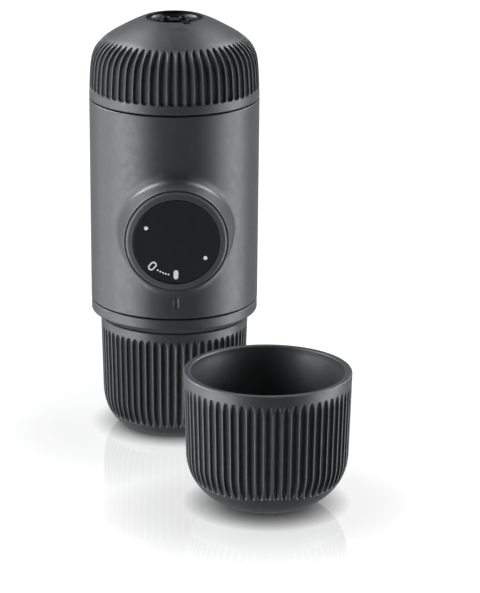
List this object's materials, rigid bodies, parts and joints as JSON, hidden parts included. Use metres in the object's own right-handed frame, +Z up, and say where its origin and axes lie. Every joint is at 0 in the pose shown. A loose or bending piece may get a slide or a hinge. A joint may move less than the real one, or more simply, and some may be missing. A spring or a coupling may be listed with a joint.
{
  "type": "handheld manual espresso maker",
  "caption": "Hand-pumped portable espresso maker: ribbed dome with spout, smooth body with a push-and-turn pump knob, ribbed water tank, and a separate ribbed cup.",
  "frame": {"origin": "centre of the water tank's flat base, on the surface that the machine stands on", "axes": "+Z up along the machine's axis, the pump's knob faces -Y, the cup stands in front and to +X"},
  "size_m": [0.0908, 0.1471, 0.154],
  "materials": {
    "grey_plastic": "satin",
    "black_plastic": "semi-gloss",
    "frame_plastic": "matte",
    "seal_rubber": "matte",
    "steel": "brushed",
    "valve_brass": "turned"
  },
  "bodies": {
    "tank": {"water_tank": "grey_plastic"},
    "tank_seal": {"tank_seal": "seal_rubber"},
    "main_body": {"chassis_base": "frame_plastic", "lower_o_ring": "seal_rubber", "body_collar": "grey_plastic", "body_shell": "grey_plastic", "inlet_strainer": "frame_plastic", "air_valve": "seal_rubber", "base_screws": "steel", "pump_housing": "frame_plastic", "pump_cylinder": "frame_plastic", "cylinder_screws": "steel", "return_spring": "steel", "valve_block": "frame_plastic", "inlet_seat": "frame_plastic", "inlet_spring": "steel", "outlet_seat": "frame_plastic", "outlet_spring": "steel", "outlet_plug": "frame_plastic", "relief_seat": "frame_plastic", "relief_spring": "steel", "relief_plug": "frame_plastic", "brew_head": "frame_plastic", "upper_o_ring": "seal_rubber", "brew_screws": "steel", "shower_screen": "steel", "screen_screw": "steel", "basket_gasket": "seal_rubber"},
    "seam_ring": {"seam_ring": "seal_rubber"},
    "head": {"portafilter_core": "frame_plastic", "outlet_dome": "grey_plastic", "spout": "black_plastic", "spout_seal": "seal_rubber"},
    "basket": {"filter_basket": "steel"},
    "plunger": {"plunger": "frame_plastic", "piston_seal": "seal_rubber", "knob_screw": "steel"},
    "dial": {"knob": "grey_plastic", "dial_face": "black_plastic"},
    "inlet_ball": {"inlet_ball": "steel"},
    "outlet_ball": {"outlet_ball": "steel"},
    "relief_poppet": {"relief_poppet": "valve_brass"},
    "cup": {"cup": "grey_plastic"}
  },
  "joints": [
    {"name": "body_lift", "type": "slide", "parent": "tank", "child": "tank_seal", "axis": [0, 0, 1], "range_m": [0, 0.06]},
    {"name": "body_unscrew", "type": "hinge", "parent": "tank_seal", "child": "main_body", "pos_m": [0, 0, 0.042], "axis": [0, 0, 1], "range_deg": [0, 360]},
    {"name": "head_lift", "type": "slide", "parent": "main_body", "child": "seam_ring", "axis": [0, 0, 1], "range_m": [0, 0.06]},
    {"name": "head_unscrew", "type": "hinge", "parent": "seam_ring", "child": "head", "pos_m": [0, 0, 0.1241], "axis": [0, 0, 1], "range_deg": [0, 270]},
    {"name": "basket_lift", "type": "slide", "parent": "main_body", "child": "basket", "axis": [0, 0, 1], "range_m": [0, 0.03]},
    {"name": "plunger_out", "type": "slide", "parent": "main_body", "child": "plunger", "axis": [0, -1, 0], "range_m": [0, 0.016], "deforming": ["return_spring"]},
    {"name": "dial_turn", "type": "hinge", "parent": "plunger", "child": "dial", "pos_m": [0, -0.0346, 0.0806], "axis": [0, -1, 0], "range_deg": [0, 45]},
    {"name": "inlet_ball_lift", "type": "slide", "parent": "main_body", "child": "inlet_ball", "axis": [0, 0, 1], "range_m": [0, 0.001], "stiffness_N_per_m": 20, "springref_m": -0.002, "deforming": ["inlet_spring"]},
    {"name": "outlet_ball_lift", "type": "slide", "parent": "main_body", "child": "outlet_ball", "axis": [0, 0, 1], "range_m": [0, 0.001], "stiffness_N_per_m": 20, "springref_m": -0.002, "deforming": ["outlet_spring"]},
    {"name": "relief_poppet_lift", "type": "slide", "parent": "main_body", "child": "relief_poppet", "axis": [0, 0, 1], "range_m": [0, 0.001], "stiffness_N_per_m": 200, "springref_m": -0.002, "deforming": ["relief_spring"]},
    {"name": "cup_lift", "type": "slide", "parent": "tank", "child": "cup", "axis": [0, 0, 1], "range_m": [0, 0.06]}
  ],
  "couplings": [
    {"joint": "basket_lift", "follows": "head_lift", "ratio": 0.5}
  ]
}
